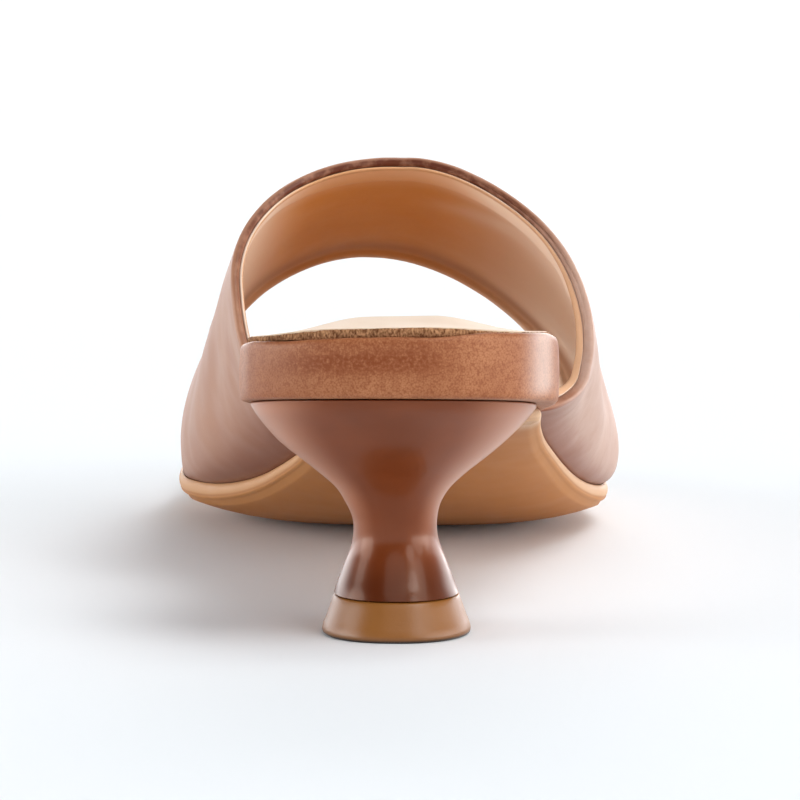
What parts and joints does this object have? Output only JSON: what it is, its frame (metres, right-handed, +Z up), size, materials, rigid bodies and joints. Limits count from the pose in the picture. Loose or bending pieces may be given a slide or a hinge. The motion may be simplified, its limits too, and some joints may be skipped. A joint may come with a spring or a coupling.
{
  "type": "kitten-heel mule sandal",
  "caption": "Open-toe, open-back women's mule for the right foot: broad leather band, padded sock on a leather-wrapped footbed, thin outsole and a low spool heel.",
  "frame": {"origin": "on the floor under the middle of the shoe's box", "axes": "+Y from the heel to the toe, +X to the outer (lateral) side of the right foot, +Z up"},
  "size_m": [0.09, 0.248, 0.0796],
  "materials": {
    "upper_leather": "pull-up leather with a soft sheen, lined with tan pigskin",
    "rand_leather": "thin mottled leather wrapped round the board",
    "sock_leather": "smooth cream lining leather over foam",
    "sole_leather": "burnished tan sole with a smooth edge",
    "heel_lacquer": "glossy brown lacquer over a moulded heel",
    "top_piece_rubber": "tan moulded heel tip"
  },
  "bodies": {
    "root": {"upper": "upper_leather", "footbed": "rand_leather", "insole": "sock_leather", "outsole": "sole_leather", "heel": "heel_lacquer", "top_piece": "top_piece_rubber"}
  },
  "joints": []
}
